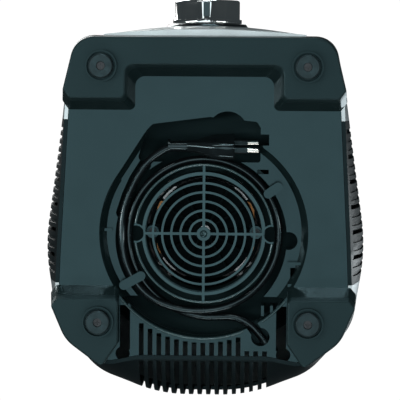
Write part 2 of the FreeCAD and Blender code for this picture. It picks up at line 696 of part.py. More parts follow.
def make_knob():
    collar = along_front(COLLAR_R, COLLAR_FRONT, COLLAR_REAR, COLLAR_TIP_R)
    sleeve = along_front(COLLAR_R - 6 - CLEARANCE, COLLAR_REAR - 0.5, PANEL_BACK)
    panel = parts["front_panel"]
    bore = along_front(SPINDLE_R + 0.5, COLLAR_FRONT - 1, -BODY_FRONT + 1)
    parts["knob_collar"] = fused([collar, sleeve]).cut(panel).cut(bore)

    grip = along_front(KNOB_R, KNOB_FRONT, KNOB_REAR)
    front_edges = [e for e in grip.Edges if abs(e.BoundBox.YMax - KNOB_FRONT) < 0.01]
    grip = grip.makeFillet(1.8, front_edges)
    flange = along_front(KNOB_FLANGE_R, KNOB_REAR, FLANGE_REAR)
    dish = along_front(KNOB_R - 4, KNOB_FRONT - 1, KNOB_FRONT + 1.2)
    marker_slot = box(-2.6, 2.6, KNOB_FRONT + 1.8, KNOB_REAR - 2.4, KNOB_Z - KNOB_R - 1,
                      KNOB_Z - KNOB_R + 1.0)
    socket = along_front(SPINDLE_R + RUNNING_GAP, KNOB_FRONT + 5, FLANGE_REAR + 1)
    parts["speed_knob"] = fused([grip, flange]).cut(dish).cut(marker_slot).cut(socket)
    marker = marker_slot.common(along_front(KNOB_R + 0.1, KNOB_FRONT, KNOB_REAR))
    parts["knob_marker"] = marker
    parts["knob_spindle"] = along_front(SPINDLE_R, KNOB_FRONT + 5, -BODY_FRONT + 16)
    case = box(-15, 15, -BODY_FRONT + WALL + 3, -BODY_FRONT + 24, KNOB_Z - 15, KNOB_Z + 15)
    neck = along_front(6.5, -BODY_FRONT + WALL + 0.5, -BODY_FRONT + WALL + 4)
    switch_bore = along_front(SPINDLE_R + RUNNING_GAP, -BODY_FRONT, -BODY_FRONT + 16.5)
    parts["speed_switch"] = fused([case, neck]).cut(switch_bore)


# ---------------------------------------------------------------- top deck
def make_top_deck():
    """Deck with the bowl's seat, a centre hub around the coupling and the seal in its groove."""
    corners = LEVELS[-1][1]
    skirt = inset(LEVELS[-1][1], WALL + CLEARANCE + 1.0)
    rim = prism(corners, DECK_Z + CLEARANCE, DECK_Z + DECK_RISE)
    rim = rim.makeFillet(2.5, [e for e in rim.Edges if e.BoundBox.ZMin > DECK_Z + DECK_RISE - 0.01])
    seat_floor = DECK_Z + DECK_RISE - SEAT_DEPTH
    drop = prism(skirt, seat_floor - DECK_T, DECK_Z + 1)
    deck = fused([rim, drop])
    deck = deck.cut(cylinder(SEAT_R, 0, MOTOR_Y, seat_floor, DECK_Z + DECK_RISE + 1))
    hub = ring(COUPLING_R + 8, COUPLING_R + 4, 0, MOTOR_Y, seat_floor - 1, seat_floor + 5)
    groove = ring(SEAT_R - 4, SEAT_R - 4 - SEAL_SECTION, 0, MOTOR_Y, seat_floor - 1.6, seat_floor + 1)
    shaft_hole = cylinder(COUPLING_R - 6, 0, MOTOR_Y, seat_floor - DECK_T - 1, seat_floor + 1)
    pin_x, pin_y = INTERLOCK_AT
    pin_hole = cylinder(INTERLOCK_R + RUNNING_GAP * 2, pin_x, pin_y, seat_floor - 10, seat_floor + 20)
    parts["top_deck"] = fused([deck, hub]).cut(groove).cut(shaft_hole).cut(pin_hole)
    parts["deck_seal"] = ring(SEAT_R - 4, SEAT_R - 4 - SEAL_SECTION, 0, MOTOR_Y, seat_floor - 1.6,
                              seat_floor + 0.8)


def make_interlock():
    """A sprung pin that the bowl presses down onto a switch."""
    x, y = INTERLOCK_AT
    floor = DECK_Z + DECK_RISE - SEAT_DEPTH
    bottom = floor - DECK_T
    pin = cylinder(INTERLOCK_R, x, y, bottom - 22, floor + INTERLOCK_TRAVEL + 1)
    collar = cylinder(INTERLOCK_R + 2.5, x, y, bottom - 4, bottom - 1)
    pin = fused([pin, collar])
    pin = pin.makeFillet(1.2, [e for e in pin.Edges if e.BoundBox.ZMin > floor + INTERLOCK_TRAVEL + 0.9])
    parts["interlock_plunger"] = pin
    parts["interlock_switch"] = fused([
        box(x - 9, x + 9, y - 8, y + 8, bottom - 34, bottom - 22 - INTERLOCK_TRAVEL - 0.8),
        box(x - 9, x - 7, y - 8, y + 8, bottom - 34, bottom - DECK_T + 3),
        box(x - 9, x + 9, y - 8, y + 8, bottom - 20, bottom - 18),
    ]).cut(cylinder(INTERLOCK_R + 0.4, x, y, bottom - 21, bottom - 17))
    low, high = bottom - 17.8, bottom - 4.1
    parts["interlock_spring"] = ring(INTERLOCK_R + 1.6, INTERLOCK_R + 0.8, x, y, low, high)


# ---------------------------------------------------------------- motor
def around_axis(outer, inner, low, high):
    return ring(outer, inner, 0, MOTOR_Y, low, high)


def turned(shape, angle):
    """A copy turned about the motor's axis."""
    copy = shape.copy()
    copy.rotate(V(0, MOTOR_Y, 0), UP, angle)
    return copy


def motor_corner_places():
    return [(sx * 36.0, MOTOR_Y + sy * 36.0) for sx in (-1, 1) for sy in (-1, 1)]


def bracket(z):
    """A four-armed bracket with a bearing cup in its middle."""
    arms = []
    for angle in (45, 135):
        arm = box(-50, 50, MOTOR_Y - 7, MOTOR_Y + 7, z, z + BRACKET_T)
        arms.append(turned(arm, angle))
    cup = on_axis(BEARING_R + 3, z - 2, z + BEARING_W + 1)
    body = fused(arms + [cup]).cut(on_axis(BEARING_R, z - 0.5, z + BEARING_W + 2))
    body = body.cut(on_axis(SHAFT_R + 1.5, z - 5, z + 20))
    for x, y in motor_corner_places():
        body = body.cut(cylinder(2.2, x, y, z - 1, z + BRACKET_T + 1))
    return body


def make_motor_frame():
    stack_top = STACK_LOW + STACK_H
    stack = prism([(52, MOTOR_Y - 40, 12), (52, MOTOR_Y + 40, 12), (-52, MOTOR_Y + 40, 12),
                   (-52, MOTOR_Y - 40, 12)], STACK_LOW, stack_top)
    stack = stack.common(on_axis(STACK_R + 12, STACK_LOW, stack_top))
    windows = fused(both_sides(box(27, 40, MOTOR_Y - 22, MOTOR_Y + 22, STACK_LOW - 1, stack_top + 1)))
    stack = stack.cut(on_axis(STACK_BORE_R, STACK_LOW - 1, stack_top + 1)).cut(windows)
    for x, y in motor_corner_places():
        stack = stack.cut(cylinder(2.4, x, y, STACK_LOW - 1, stack_top + 1))
    parts["field_stack"] = stack
    coil = box(28, 39, MOTOR_Y - 21, MOTOR_Y + 21, STACK_LOW - 7, stack_top + 7)
    coil = coil.makeFillet(3.0, [e for e in coil.Edges if e.Length > STACK_H])
    parts["field_coils"] = Part.makeCompound(both_sides(coil))
    lower = bracket(LOWER_BRACKET_Z)
    upper = bracket(UPPER_BRACKET_Z)
    parts["motor_bottom_bracket"] = lower
    parts["motor_top_bracket"] = upper
    for name, z in (("lower_bearing", LOWER_BRACKET_Z), ("upper_bearing", UPPER_BRACKET_Z)):
        parts[name] = around_axis(BEARING_R, SHAFT_R + RUNNING_GAP, z - 0.5, z - 0.5 + BEARING_W)
    posts, bolts, mounts = [], [], []
    depth = PLATE_Z + POCKET_DEPTH + FLOOR_WALL
    for x, y in motor_corner_places():
        posts.append(ring(4.2, 2.2, x, y, LOWER_BRACKET_Z + BRACKET_T, STACK_LOW))
        posts.append(ring(4.2, 2.2, x, y, stack_top, UPPER_BRACKET_Z))
        mounts.append(ring(6.0, 2.2, x, y, depth, LOWER_BRACKET_Z))
        bolts.append(cylinder(1.9, x, y, depth + 4, UPPER_BRACKET_Z + BRACKET_T))
        bolts.append(cylinder(4.0, x, y, UPPER_BRACKET_Z + BRACKET_T, UPPER_BRACKET_Z + BRACKET_T + 3))
    parts["motor_spacers"] = Part.makeCompound(posts)
    parts["motor_mounts"] = Part.makeCompound(mounts)
    parts["motor_bolts"] = Part.makeCompound([fused(bolts[i:i + 2]) for i in range(0, len(bolts), 2)])
    parts["air_shroud"] = around_axis(FAN_R + 3.9, FAN_R + 2, depth + 4, LOWER_BRACKET_Z)


def make_brushes():
    """Two carbon brushes in holders on the upper bracket, pressed on the commutator."""
    z0 = COMMUTATOR_LOW + 4
    z1 = z0 + 8
    start = COMMUTATOR_R + 0.35
    holders, carbons, springs = [], [], []
    for angle in (90, 270):
        tube = box(COMMUTATOR_R + 3, COMMUTATOR_R + 27, MOTOR_Y - 5, MOTOR_Y + 5, z0 - 2, z1 + 2)
        tube = tube.cut(box(COMMUTATOR_R + 2, COMMUTATOR_R + 25, MOTOR_Y - 3.1, MOTOR_Y + 3.1,
                            z0 - 0.1, z1 + 0.1))
        stem = box(COMMUTATOR_R + 10, COMMUTATOR_R + 22, MOTOR_Y - 5, MOTOR_Y + 5, z1 + 2,
                   UPPER_BRACKET_Z - 2.2)
        holders.append(turned(fused([tube, stem]), angle))
        carbons.append(turned(box(start, COMMUTATOR_R + 16, MOTOR_Y - 3, MOTOR_Y + 3, z0, z1), angle))
        coil = Part.makeCylinder(2.4, 8.9, V(COMMUTATOR_R + 16.05, MOTOR_Y, (z0 + z1) / 2), RIGHT)
        core = Part.makeCylinder(1.6, 9.2, V(COMMUTATOR_R + 15.9, MOTOR_Y, (z0 + z1) / 2), RIGHT)
        springs.append(turned(coil.cut(core), angle))
    arm = turned(box(-COMMUTATOR_R - 22, COMMUTATOR_R + 22, MOTOR_Y - 5, MOTOR_Y + 5,
                     UPPER_BRACKET_Z - 4.2, UPPER_BRACKET_Z - 2.2), 90)
    arm = arm.cut(on_axis(BEARING_R - 1, UPPER_BRACKET_Z - 6, UPPER_BRACKET_Z))
    parts["brush_holders"] = fused(holders + [arm])
    parts["carbon_brushes"] = Part.makeCompound(carbons)
    parts["brush_springs"] = Part.makeCompound(springs)


def make_rotor():
    """Shaft with laminated core, commutator, cooling fan and the coupling in the bowl's seat."""
    seat_floor = DECK_Z + DECK_RISE - SEAT_DEPTH
    shaft = on_axis(SHAFT_R, SHAFT_LOW, SHAFT_TOP)
    parts["motor_shaft"] = shaft
    core_r = STACK_BORE_R - AIR_GAP
    core = around_axis(core_r, SHAFT_R, STACK_LOW, STACK_LOW + STACK_H)
    slot = cylinder(2.6, core_r - 1.5, MOTOR_Y, STACK_LOW - 1, STACK_LOW + STACK_H + 1)
    parts["rotor_core"] = core.cut(Part.makeCompound([turned(slot, i * 30) for i in range(12)]))
    comm = around_axis(COMMUTATOR_R, SHAFT_R, COMMUTATOR_LOW, COMMUTATOR_LOW + COMMUTATOR_H)
    bar_gap = box(COMMUTATOR_R - 1, COMMUTATOR_R + 1, MOTOR_Y - 0.3, MOTOR_Y + 0.3,
                  COMMUTATOR_LOW - 1, COMMUTATOR_LOW + COMMUTATOR_H + 1)
    parts["commutator"] = comm.cut(Part.makeCompound([turned(bar_gap, i * 15) for i in range(24)]))
    disc = around_axis(FAN_R, SHAFT_R, FAN_LOW + FAN_H - 1.8, FAN_LOW + FAN_H)
    hub = around_axis(SHAFT_R + 5, SHAFT_R, FAN_LOW, FAN_LOW + FAN_H)
    blade = box(SHAFT_R + 4, FAN_R - 1, MOTOR_Y - 0.8, MOTOR_Y + 0.8, FAN_LOW, FAN_LOW + FAN_H - 1)
    blades = [turned(blade, i * 360 / FAN_BLADES) for i in range(FAN_BLADES)]
    parts["cooling_fan"] = fused([disc, hub] + blades)
    low = seat_floor + 1.5
    drive = on_axis(COUPLING_R, low, low + COUPLING_H)
    drive = drive.makeFillet(1.5, [e for e in drive.Edges if e.BoundBox.ZMin > low + COUPLING_H - 0.1])
    flute = cylinder(2.2, COUPLING_R + 0.9, MOTOR_Y, low + 3, low + COUPLING_H + 1)
    step = 360 / COUPLING_TEETH
    flutes = Part.makeCompound([turned(flute, i * step) for i in range(COUPLING_TEETH)])
    parts["drive_coupling"] = drive.cut(flutes).cut(on_axis(SHAFT_R, low - 1, SHAFT_TOP))


# ---------------------------------------------------------------- electrics inside
def make_electrics():
    plate_top = PLATE_Z + FLOOR_WALL
    board = box(-50, -10, -96, -72, plate_top + 14, plate_top + 15.6)
    chips = [box(-46 + 12 * i, -39 + 12 * i, -90, -78, plate_top + 15.6, plate_top + 22)
             for i in range(3)]
    posts = [cylinder(2.5, x, y, plate_top, plate_top + 14) for x in (-46, -14) for y in (-93, -75)]
    parts["control_board"] = fused([board] + chips)
    parts["board_posts"] = Part.makeCompound(posts)
    fins = [box(16 + 5 * i, 18 + 5 * i, -95, -76, plate_top + 4, plate_top + 22) for i in range(6)]
    parts["heat_sink"] = fused([box(14, 46, -95, -76, plate_top, plate_top + 4)] + fins)
    block = box(62, 90, -71, -58, plate_top, plate_top + 12)
    wells = [cylinder(2.2, 66 + 6.5 * i, -64.5, plate_top + 6, plate_top + 13) for i in range(4)]
    parts["terminal_block"] = block.cut(Part.makeCompound(wells))


# ---------------------------------------------------------------- supply cord and plug
def cord_path(points):
    """Straight runs joined by tangent arcs, with each arc as large as its two runs allow."""
    edges = []
    last = points[0]
    radii = []
    for before, here, after in zip(points, points[1:], points[2:]):
        back, ahead = before - here, after - here
        shorter = min(back.Length, ahead.Length)
        back.normalize()
        ahead.normalize()
        turn = math.pi - back.getAngle(ahead)
        cut = 0.45 * shorter
        radius = cut / math.tan(turn / 2)
        radii.append(round(radius, 1))
        towards = (back + ahead).normalize()
        middle = here + towards * (radius / math.cos(turn / 2) - radius)
        start, end = here + back * cut, here + ahead * cut
        edges.append(Part.LineSegment(last, start).toShape())
        edges.append(Part.Arc(start, middle, end).toShape())
        last = end
    edges.append(Part.LineSegment(last, points[-1]).toShape())
    return Part.Wire(edges), radii


def cord_tube(name, points):
    path, radii = cord_path([V(*p) for p in points])
    start = path.Edges[0]
    direction = start.tangentAt(start.FirstParameter)
    circle = Part.Wire(Part.makeCircle(CORD_D / 2, V(*points[0]), direction))
    tube = path.makePipeShell([circle], True, False)
    expected = math.pi * (CORD_D / 2) ** 2 * path.Length
    print(f"{name}: radii {radii}, length {path.Length:.1f}, volume / expected {tube.Volume / expected:.4f}")
    parts[name] = tube


def make_cord():
    coil = cylinder(COIL_R, COIL_CENTRE[0], COIL_CENTRE[1], COIL_LOW, COIL_TOP)
    coil = coil.makeFillet(3.0, [e for e in coil.Edges if len(e.Vertexes) == 1])
    parts["cord_coil"] = coil.cut(on_axis(DRUM_NECK_R + 0.6, COIL_LOW - 1, COIL_TOP + 1))
    cord_tube("cord_exit_lead", EXIT_ROUTE)
    cord_tube("cord_plug_lead", PLUG_ROUTE)
    exit_point = V(*CORD_EXIT)
    outwards = (exit_point - V(*EXIT_ROUTE[1])).normalize()
    sleeve = Part.makeCylinder(CORD_D / 2 + 1.6, 13, exit_point, outwards)
    lip = Part.makeCylinder(CORD_D / 2 + 3.0, 1.6, exit_point + outwards * 4.2, outwards)
    parts["cord_bushing"] = sleeve.fuse(lip).removeSplitter()
    bushing_space = sleeve.fuse(lip)
    parts["base_plate"] = parts["base_plate"].cut(bushing_space)


def in_plug_frame(shape):
    """A shape drawn along X about the origin, leaned and moved to the plug's place."""
    shape.rotate(V(0, 0, 0), RIGHT, PLUG_LEAN)
    shape.translate(V(PLUG_FACE_X, PLUG_Y, PLUG_Z))
    return shape


def plug_section(x, thick, height, rounding):
    half_t, half_h = thick / 2, height / 2
    corners = [(-half_t, -half_h, rounding), (half_t, -half_h, rounding), (half_t, half_h, rounding),
               (-half_t, half_h, rounding)]
    wire = outline(corners, 0)
    wire.rotate(V(0, 0, 0), V(1, 1, 1), 120)
    wire.translate(V(x, 0, 0))
    return wire


def make_plug():
    """Flat two-pin plug that stands on edge in its recess, with a ridged boot on the cord."""
    neck_end = -PLUG_LENGTH - PLUG_NECK
    body = Part.makeLoft([
        plug_section(neck_end, 9.0, 9.0, 4.0),
        plug_section(neck_end + 8, 9.6, 12.0, 4.0),
        plug_section(-PLUG_LENGTH, PLUG_THICK - 0.5, PLUG_HEIGHT - 4, 4.5),
        plug_section(-1.2, PLUG_THICK, PLUG_HEIGHT, 4.5),
        plug_section(0, PLUG_THICK - 1, PLUG_HEIGHT - 1, 4.0),
    ], True, True)
    parts["plug_body"] = in_plug_frame(body)
    ridges = []
    ridge = BOOT_LENGTH / 6
    for i in range(6):
        x = neck_end - BOOT_LENGTH + i * ridge
        ridges.append(Part.makeCylinder(4.6 - 0.15 * (5 - i), ridge * 0.62, V(x, 0, 0), RIGHT))
    core = Part.makeCylinder(3.7, BOOT_LENGTH, V(neck_end - BOOT_LENGTH, 0, 0), RIGHT)
    cap = Part.makeCylinder(5.4, 1.4, V(neck_end - BOOT_LENGTH - 1.4, 0, 0), RIGHT)
    parts["plug_boot"] = in_plug_frame(fused([core, cap] + ridges))
    sleeves, pins = [], []
    for side in (-1, 1):
        z = side * PIN_SPACING / 2
        sleeves.append(Part.makeCylinder(SLEEVE_R, SLEEVE_LENGTH, V(0, 0, z), RIGHT))
        pin = Part.makeCylinder(PIN_R, PIN_LENGTH - SLEEVE_LENGTH, V(SLEEVE_LENGTH, 0, z), RIGHT)
        pins.append(pin.makeFillet(0.9, [e for e in pin.Edges if e.BoundBox.XMin > PIN_LENGTH - 0.1]))
    parts["pin_sleeves"] = in_plug_frame(Part.makeCompound(sleeves))
    parts["plug_pins"] = in_plug_frame(Part.makeCompound(pins))


# ---------------------------------------------------------------- the whole machine
for make in (make_housing, make_side_vents, make_rear_vent, make_base_plate, make_feet,
             make_motor_grille, make_front_panel, make_knob, make_top_deck, make_interlock,
             make_motor_frame, make_brushes, make_rotor, make_electrics, make_cord, make_plug):
    make()

os.makedirs("parts", exist_ok=True)
for name, shape in parts.items():
    shape.exportStep("parts/" + name + ".step")
    print(f"{name}: {len(shape.Solids)} solids, {shape.Volume / 1000:.2f} cm3, valid {shape.isValid()}")
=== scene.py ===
import json
import math

import bpy
from mathutils import Matrix, Vector


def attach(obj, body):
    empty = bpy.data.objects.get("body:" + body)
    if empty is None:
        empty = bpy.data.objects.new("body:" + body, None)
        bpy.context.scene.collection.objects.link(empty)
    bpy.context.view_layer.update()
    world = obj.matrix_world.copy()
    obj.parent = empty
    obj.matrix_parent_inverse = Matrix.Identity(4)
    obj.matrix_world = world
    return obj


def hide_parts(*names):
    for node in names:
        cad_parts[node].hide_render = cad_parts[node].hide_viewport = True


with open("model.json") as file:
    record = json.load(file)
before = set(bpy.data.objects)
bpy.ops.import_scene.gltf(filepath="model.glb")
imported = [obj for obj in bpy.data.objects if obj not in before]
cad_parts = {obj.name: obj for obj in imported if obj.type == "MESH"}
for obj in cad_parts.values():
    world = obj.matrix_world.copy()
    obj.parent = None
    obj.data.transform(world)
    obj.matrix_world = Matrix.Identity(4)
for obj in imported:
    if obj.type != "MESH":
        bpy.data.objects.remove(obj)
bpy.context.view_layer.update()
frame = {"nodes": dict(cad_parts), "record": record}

bl_info = {
    "name": "Motor Base",
    "version": (1, 0, 0),
    "blender": (4, 5, 0),
    "location": "View3D > Sidebar > Motor Base",
    "description": "Dresses the motor base of a kitchen machine: finishes, cord, beads, lights and camera",
    "category": "Object",
}

MM = 0.001
NODES = frame["nodes"]
# Where the motor's axis stands, in millimetres behind the origin.
MOTOR_Y = 24.0


# ---------------------------------------------------------------- settings
def colour_setting(label, about, value):
    return bpy.props.FloatVectorProperty(name=label, description=about, subtype="COLOR", size=3,
                                         min=0.0, max=1.0, default=value)


def length_setting(label, about, value):
    return bpy.props.FloatProperty(name=label, description=about, subtype="DISTANCE", unit="LENGTH",
                                   default=value)


class MotorBaseFinish(bpy.types.PropertyGroup):
    """Colours of the finishes."""
    moulding: colour_setting("Moulding", "Satin plastic of the bottom", (0.007, 0.015, 0.016))
    ribs: colour_setting("Ribs", "Plastic of the vents", (0.005, 0.008, 0.009))
    silver: colour_setting("Silver", "Lacquer of the housing", (0.60, 0.67, 0.69))
    gloss_black: colour_setting("Gloss black", "Plug, collar and coupling", (0.006, 0.008, 0.009))
    sheath: colour_setting("Sheath", "Outer sheath of the supply cord", (0.005, 0.006, 0.007))
    chrome: colour_setting("Chrome", "Plating of the knob", (0.78, 0.81, 0.82))
    rubber: colour_setting("Rubber", "Tread of the feet", (0.016, 0.022, 0.024))
    floor: colour_setting("Floor", "Pale floor", (0.86, 0.88, 0.88))


class MotorBaseSizes(bpy.types.PropertyGroup):
    """Sizes of what is modelled here and of the set."""
    cord: length_setting("Cord", "Diameter of the supply cord", 6.0 * MM)
    rim: length_setting("Rim bead", "Radius of the polished beads", 0.75 * MM)
    edge: length_setting("Edge", "Width of the soft edge on mouldings", 0.45 * MM)
    distance: length_setting("Camera distance", "From the floor to the camera below it", 1.42)
    field: length_setting("Field", "Width seen at the level of the feet", 304.0 * MM)


def finish_settings():
    return bpy.context.scene.motor_base_finish


def size_settings():
    return bpy.context.scene.motor_base_sizes


# ---------------------------------------------------------------- materials
# Heights between which the bottom's finish turns from satin to rough.
TRENCH_LEVELS = (0.033, 0.040)
# Heights between which it turns from satin to the duller finish of the lowest faces, listed downwards.
LOW_LEVELS = (0.012, 0.008)
# Part of a noise's range that holds most of its values.
NOISE_MIDDLE = (0.35, 0.65)
# Blue-green cast of what the black mouldings mirror.
COOL_CAST = (0.51, 0.89, 1.0, 1.0)


class Surface:
    """A procedural material built around one Principled shader."""

    def __init__(self, name, colour, roughness, metallic=0.0):
        self.material = bpy.data.materials.new(name)
        self.material.use_nodes = True
        self.tree = self.material.node_tree
        self.tree.nodes.clear()
        self.shader = self.add("ShaderNodeBsdfPrincipled")
        output = self.add("ShaderNodeOutputMaterial")
        self.link(self.shader.outputs["BSDF"], output.inputs["Surface"])
        self.colour = (*colour, 1.0)
        self.shader.inputs["Base Color"].default_value = self.colour
        self.shader.inputs["Roughness"].default_value = roughness
        self.shader.inputs["Metallic"].default_value = metallic
        self.shader.inputs["Specular IOR Level"].default_value = 0.5
        self.place = self.add("ShaderNodeTexCoord").outputs["Object"]
        self.height = None

    def add(self, kind):
        return self.tree.nodes.new(kind)

    def link(self, start, end):
        self.tree.links.new(start, end)

    def noise(self, scale, detail=3.0, roughness=0.5, stretch=None):
        node = self.add("ShaderNodeTexNoise")
        node.inputs["Scale"].default_value = scale
        node.inputs["Detail"].default_value = detail
        node.inputs["Roughness"].default_value = roughness
        place = self.place
        if stretch:
            mapping = self.add("ShaderNodeMapping")
            mapping.inputs["Scale"].default_value = stretch
            self.link(place, mapping.inputs["Vector"])
            place = mapping.outputs["Vector"]
        self.link(place, node.inputs["Vector"])
        return node.outputs["Fac"]

    def spread(self, value, low, high):
        """The value's middle range stretched between low and high."""
        node = self.add("ShaderNodeMapRange")
        node.inputs["From Min"].default_value, node.inputs["From Max"].default_value = NOISE_MIDDLE
        node.inputs["To Min"].default_value = low
        node.inputs["To Max"].default_value = high
        self.link(value, node.inputs["Value"])
        return node.outputs["Result"]

    def vary_colour(self, value, amount):
        """Lightens and darkens the base colour with a value."""
        mix = self.add("ShaderNodeMix")
        mix.data_type = "RGBA"
        dark = [c * (1 - amount) for c in self.colour[:3]] + [1.0]
        light = [min(c * (1 + amount), 1.0) for c in self.colour[:3]] + [1.0]
        mix.inputs["A"].default_value = dark
        mix.inputs["B"].default_value = light
        self.link(self.spread(value, 0.0, 1.0), mix.inputs["Factor"])
        self.link(mix.outputs["Result"], self.shader.inputs["Base Color"])

    def vary_roughness(self, value, low, high):
        self.link(self.spread(value, low, high), self.shader.inputs["Roughness"])

    def bump(self, value, strength, distance):
        node = self.add("ShaderNodeBump")
        node.inputs["Strength"].default_value = strength
        node.inputs["Distance"].default_value = distance
        self.link(value, node.inputs["Height"])
        if self.height is not None:
            self.link(self.height, node.inputs["Normal"])
        self.height = node.outputs["Normal"]
        self.link(self.height, self.shader.inputs["Normal"])

    def cool_sheen(self):
        """Tints what the surface mirrors."""
        self.shader.inputs["Specular Tint"].default_value = COOL_CAST

    def moulded_relief(self, grain):
        """Spark-eroded grain of the mould, and the slight sink of thick walls."""
        self.bump(self.noise(1500, 2), grain, 0.00012)
        self.bump(self.noise(14, 2), 0.03, 0.0008)

    def coat(self, weight, roughness):
        self.shader.inputs["Coat Weight"].default_value = weight
        self.shader.inputs["Coat Roughness"].default_value = roughness


def moulded_plastic(name, colour, roughness, grain, polish=0.0):
    """Moulded plastic with a fine spark-eroded grain, flow clouds and handling marks."""
    surface = Surface(name, colour, roughness)
    surface.vary_colour(surface.noise(18, 4), 0.08)
    surface.vary_roughness(surface.noise(55, 5), roughness - 0.03, roughness + 0.04)
    surface.moulded_relief(grain)
    surface.coat(polish, 0.14)
    surface.cool_sheen()
    return surface.material


def level_roughness(surface, low, satin, deep):
    """Roughness by height: dull on the lowest faces, satin on the plate, rough in deep floors."""
    place = surface.add("ShaderNodeSeparateXYZ")
    surface.link(surface.place, place.inputs["Vector"])
    value = surface.spread(surface.noise(55, 5), satin - 0.03, satin + 0.03)
    for levels, roughness in ((LOW_LEVELS, low), (TRENCH_LEVELS, deep)):
        ramp = surface.add("ShaderNodeMapRange")
        ramp.inputs["From Min"].default_value, ramp.inputs["From Max"].default_value = levels
        surface.link(place.outputs["Z"], ramp.inputs["Value"])
        mix = surface.add("ShaderNodeMix")
        mix.inputs["B"].default_value = roughness
        surface.link(ramp.outputs["Result"], mix.inputs["Factor"])
        surface.link(value, mix.inputs["A"])
        value = mix.outputs["Result"]
    surface.link(value, surface.shader.inputs["Roughness"])


def stepped_moulding(name, colour, roughness, grain):
    """The bottom's moulded plastic: satin outside, rough and dusty in the deep cord trench."""
    surface = Surface(name, colour, roughness)
    surface.vary_colour(surface.noise(18, 4), 0.10)
    level_roughness(surface, roughness + 0.28, roughness, 1.0)
    surface.moulded_relief(grain)
    surface.cool_sheen()
    return surface.material


def dull(material, level):
    """Sets how much a material's surface mirrors."""
    shader = next(n for n in material.node_tree.nodes if n.type == "BSDF_PRINCIPLED")
    shader.inputs["Specular IOR Level"].default_value = level
    return material


def gloss_plastic(name, colour, roughness):
    """Shiny moulded plastic with fingermarks in its gloss."""
    surface = Surface(name, colour, roughness)
    surface.vary_colour(surface.noise(40, 3), 0.15)
    surface.vary_roughness(surface.noise(90, 6), roughness * 0.7, roughness * 1.5)
    surface.bump(surface.noise(30, 2), 0.05, 0.0006)
    surface.coat(0.35, 0.08)
    surface.cool_sheen()
    return surface.material


def silver_lacquer(name, colour):
    """Metallic lacquer: bright flakes under a thin clear coat."""
    surface = Surface(name, colour, 0.34, 0.75)
    surface.vary_colour(surface.noise(2600, 1), 0.10)
    surface.vary_roughness(surface.noise(30, 4), 0.28, 0.40)
    surface.bump(surface.noise(1900, 1), 0.05, 0.00008)
    surface.bump(surface.noise(60, 2), 0.03, 0.0003)
    surface.coat(0.5, 0.12)
    return surface.material


def chrome_plate(name, colour):
    """Bright plating, faintly uneven in gloss."""
    surface = Surface(name, colour, 0.07, 1.0)
    surface.vary_roughness(surface.noise(45, 5), 0.04, 0.12)
    surface.vary_colour(surface.noise(20, 3), 0.04)
    surface.bump(surface.noise(70, 2), 0.02, 0.0002)
    return surface.material


def moulded_rubber(name, colour, roughness):
    """Matt, fine-grained rubber or pressed compound with dusty patches."""
    surface = Surface(name, colour, roughness)
    surface.vary_colour(surface.noise(120, 4), 0.22)
    surface.vary_roughness(surface.noise(200, 4), roughness - 0.10, roughness + 0.12)
    surface.bump(surface.noise(900, 3), 0.35, 0.0002)
    surface.cool_sheen()
    return surface.material


def turned_metal(name, colour, roughness, stretch):
    """Metal with fine tool lines along one direction."""
    surface = Surface(name, colour, roughness, 1.0)
    lines = surface.noise(160, 4, 0.6, stretch)
    surface.vary_colour(lines, 0.14)
    surface.vary_roughness(lines, roughness - 0.08, roughness + 0.12)
    surface.bump(lines, 0.12, 0.0002)
    return surface.material


def lighter(colour, times):
    return [channel * times for channel in colour]


def make_finishes():
    """The finishes by name: one for each slot of the record, and a few of its variants."""
    colours = finish_settings()
    grille = moulded_plastic("grille_moulding", lighter(colours.moulding, 2), 0.32, 0.06)
    return {
        "black_moulding": stepped_moulding("black_moulding", colours.moulding, 0.20, 0.06),
        "grille_moulding": dull(grille, 0.85),
        "fan_black": dull(moulded_plastic("fan_black", colours.ribs, 0.6, 0.25), 0.06),
        # Painted highlight: the rims' beads are four times lighter than the moulding, so that they show as
        # bright lines.
        "rim_gloss_painted_highlight": moulded_plastic("rim_gloss_painted_highlight", lighter(colours.moulding, 4), 0.22, 0.03, 1.0),
        "ribbed_black": dull(moulded_plastic("ribbed_black", colours.ribs, 0.38, 0.25), 0.22),
        "silver_shell": silver_lacquer("silver_shell", colours.silver),
        "chrome": chrome_plate("chrome", colours.chrome),
        "black_gloss": gloss_plastic("black_gloss", colours.gloss_black, 0.16),
        "foot_rubber": dull(moulded_rubber("foot_rubber", colours.rubber, 0.45), 0.55),
        "seal_rubber": moulded_rubber("seal_rubber", (0.03, 0.032, 0.034), 0.6),
        "zinc_screw": turned_metal("zinc_screw", (0.06, 0.065, 0.07), 0.40, (1, 1, 6)),
        # Painted shade: the laminations, field windings and bracket get near-black colours that stand in
        # for the shade inside the housing.
        "lamination": turned_metal("lamination", (0.05, 0.052, 0.055), 0.6, (0.05, 0.05, 9)),
        "winding": dull(moulded_rubber("winding", (0.014, 0.007, 0.004), 0.7), 0.06),
        "bracket_alloy": turned_metal("bracket_alloy", (0.015, 0.018, 0.02), 0.85, (1, 1, 1)),
        "bearing_steel": turned_metal("bearing_steel", (0.56, 0.58, 0.60), 0.22, (1, 1, 8)),
        "carbon": moulded_rubber("carbon", (0.03, 0.03, 0.032), 0.5),
        "commutator_copper": turned_metal("commutator_copper", (0.72, 0.36, 0.18), 0.28, (1, 1, 9)),
        "inner_nylon": moulded_plastic("inner_nylon", (0.30, 0.31, 0.29), 0.5, 0.15),
        "circuit_board": gloss_plastic("circuit_board", (0.02, 0.12, 0.05), 0.35),
        "cord_sheath": gloss_plastic("cord_sheath", colours.sheath, 0.2),
        "pin_metal": chrome_plate("pin_metal", (0.80, 0.80, 0.76)),
        "pin_sleeve": moulded_plastic("pin_sleeve", (0.012, 0.013, 0.014), 0.4, 0.1),
    }


FINISHES = {}


def dress(names, slot):
    """Gives CAD nodes the material of a slot."""
    for name in names:
        node = NODES[name]
        node.data.materials.clear()
        node.data.materials.append(FINISHES[slot])


